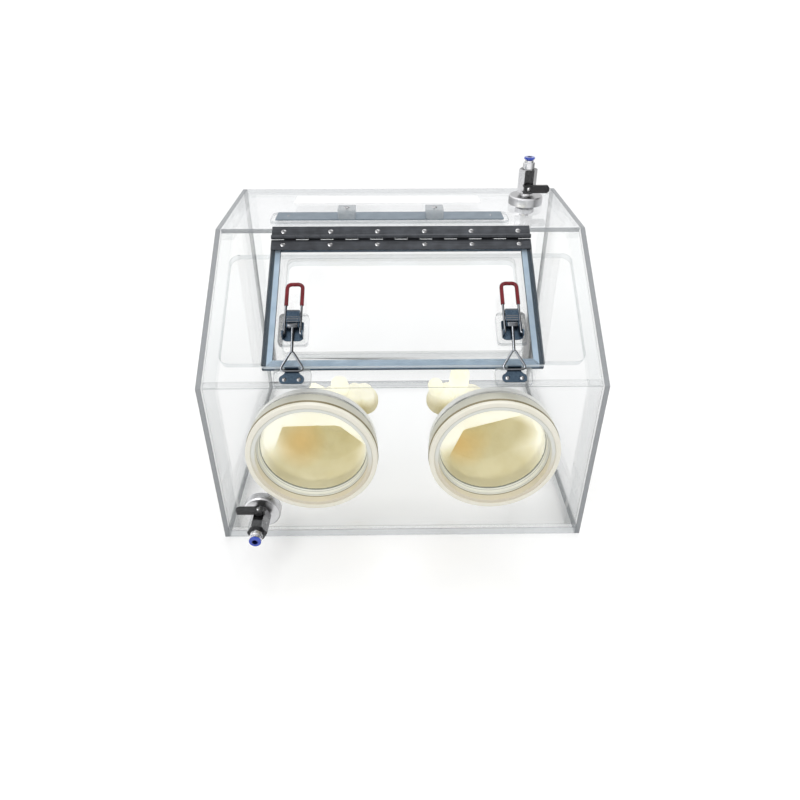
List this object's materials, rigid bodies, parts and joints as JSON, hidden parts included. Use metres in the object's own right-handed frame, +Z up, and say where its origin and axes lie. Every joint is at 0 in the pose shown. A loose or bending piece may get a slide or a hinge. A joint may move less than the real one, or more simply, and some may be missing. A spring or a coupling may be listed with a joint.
{
  "type": "acrylic glove box",
  "caption": "Clear five-sided glove box with a gasketed sloping door on a piano hinge, toggle latches, glove ports with sleeves and ball valves with push-in tube fittings.",
  "frame": {"origin": "middle of the underside of the base", "axes": "+X to the right seen from the front, +Y towards the back panel, +Z up"},
  "size_m": [0.6, 0.555, 0.53],
  "materials": {
    "clear_acrylic": "clear polished acrylic with ground edges",
    "hinge_steel": "dark charcoal brushed steel",
    "screw_steel": "bright plated steel",
    "gasket_rubber": "blue-grey sponge rubber",
    "latch_steel": "dark blue-grey steel",
    "wire_steel": "drawn steel wire",
    "red_vinyl": "dipped red vinyl",
    "port_plastic": "ivory turned plastic",
    "seal_rubber": "dark beige rubber",
    "latex": "cream latex",
    "valve_aluminium": "turned aluminium",
    "valve_chrome": "bright plated brass",
    "black_plastic": "black moulded plastic",
    "blue_plastic": "blue moulded plastic",
    "seat_plastic": "white sealing plastic",
    "strip_metal": "blue-grey metal",
    "white_plate": "plain white plastic"
  },
  "bodies": {
    "case": {"back_panel": "clear_acrylic", "base_panel": "clear_acrylic", "blank_plate": "white_plate", "front_lower_panel": "clear_acrylic", "front_sloped_panel": "clear_acrylic", "front_valve_body": "valve_chrome", "front_valve_fitting": "valve_chrome", "front_valve_flange": "valve_aluminium", "hinge_fixed_leaf": "hinge_steel", "hinge_fixed_leaf_screws": "screw_steel", "hinge_pin": "hinge_steel", "hinge_spacer_bar": "clear_acrylic", "keeper_pads": "clear_acrylic", "keeper_plates": "latch_steel", "keeper_screws": "screw_steel", "left_corner_strips": "clear_acrylic", "left_glove": "latex", "left_port_ring": "port_plastic", "left_side_panel": "clear_acrylic", "opening_doubler": "clear_acrylic", "port_clamp_rings": "port_plastic", "port_o_rings": "seal_rubber", "rest_blocks": "clear_acrylic", "rest_screws": "screw_steel", "rest_strip": "strip_metal", "rest_strip_carrier": "clear_acrylic", "right_corner_strips": "clear_acrylic", "right_glove": "latex", "right_port_ring": "port_plastic", "right_side_panel": "clear_acrylic", "top_panel": "clear_acrylic", "top_valve_body": "valve_chrome", "top_valve_fitting": "valve_chrome", "top_valve_flange": "valve_aluminium", "valve_lock_nuts": "valve_chrome", "valve_seats": "seat_plastic"},
    "door": {"door_panel": "clear_acrylic", "door_gasket": "gasket_rubber", "hinge_door_leaf": "hinge_steel", "hinge_door_leaf_screws": "screw_steel", "latch_pads": "clear_acrylic", "latch_bases": "latch_steel", "latch_base_screws": "screw_steel"},
    "left_latch_lever": {"left_latch_handle": "wire_steel", "left_latch_grip": "red_vinyl", "left_latch_saddle": "latch_steel"},
    "left_hook": {"left_latch_hook": "wire_steel"},
    "right_latch_lever": {"right_latch_handle": "wire_steel", "right_latch_grip": "red_vinyl", "right_latch_saddle": "latch_steel"},
    "right_hook": {"right_latch_hook": "wire_steel"},
    "top_valve_handle": {"top_valve_ball_and_stem": "valve_chrome", "top_valve_lever": "black_plastic", "top_lever_screw": "screw_steel"},
    "front_valve_handle": {"front_valve_ball_and_stem": "valve_chrome", "front_valve_lever": "black_plastic", "front_lever_screw": "screw_steel"},
    "top_collar": {"top_release_collar": "blue_plastic"},
    "front_collar": {"front_release_collar": "blue_plastic"}
  },
  "joints": [
    {"name": "door_hinge", "type": "hinge", "parent": "case", "child": "door", "pos_m": [0, -0.03262, 0.44815], "axis": [-1, 0, 0], "range_deg": [0, 190]},
    {"name": "left_latch_pull", "type": "hinge", "parent": "door", "child": "left_latch_lever", "pos_m": [-0.16, -0.19134, 0.35993], "axis": [-1, 0, 0], "range_deg": [-90, 0]},
    {"name": "left_hook_swing", "type": "hinge", "parent": "left_latch_lever", "child": "left_hook", "pos_m": [-0.16, -0.18042, 0.36698], "axis": [-1, 0, 0], "range_deg": [0, 103.5]},
    {"name": "right_latch_pull", "type": "hinge", "parent": "door", "child": "right_latch_lever", "pos_m": [0.16, -0.19134, 0.35993], "axis": [-1, 0, 0], "range_deg": [-90, 0]},
    {"name": "right_hook_swing", "type": "hinge", "parent": "right_latch_lever", "child": "right_hook", "pos_m": [0.16, -0.18042, 0.36698], "axis": [-1, 0, 0], "range_deg": [0, 103.5]},
    {"name": "top_valve_turn", "type": "hinge", "parent": "case", "child": "top_valve_handle", "pos_m": [0.226, 0.1395, 0.48], "axis": [0, -1, 0], "range_deg": [0, 90]},
    {"name": "front_valve_turn", "type": "hinge", "parent": "case", "child": "front_valve_handle", "pos_m": [-0.228, -0.2675, 0.068], "axis": [0, 0, 1], "range_deg": [0, 90]},
    {"name": "top_collar_press", "type": "slide", "parent": "case", "child": "top_collar", "axis": [0, 0, -1], "range_m": [0, 0.0012], "stiffness_N_per_m": 1000, "springref_m": -0.0005},
    {"name": "front_collar_press", "type": "slide", "parent": "case", "child": "front_collar", "axis": [0, 1, 0], "range_m": [0, 0.0012], "stiffness_N_per_m": 1000, "springref_m": -0.0005}
  ],
  "couplings": [
    {"joint": "left_hook_swing", "follows": "left_latch_pull", "ratio": -1.15},
    {"joint": "right_hook_swing", "follows": "right_latch_pull", "ratio": -1.15}
  ]
}
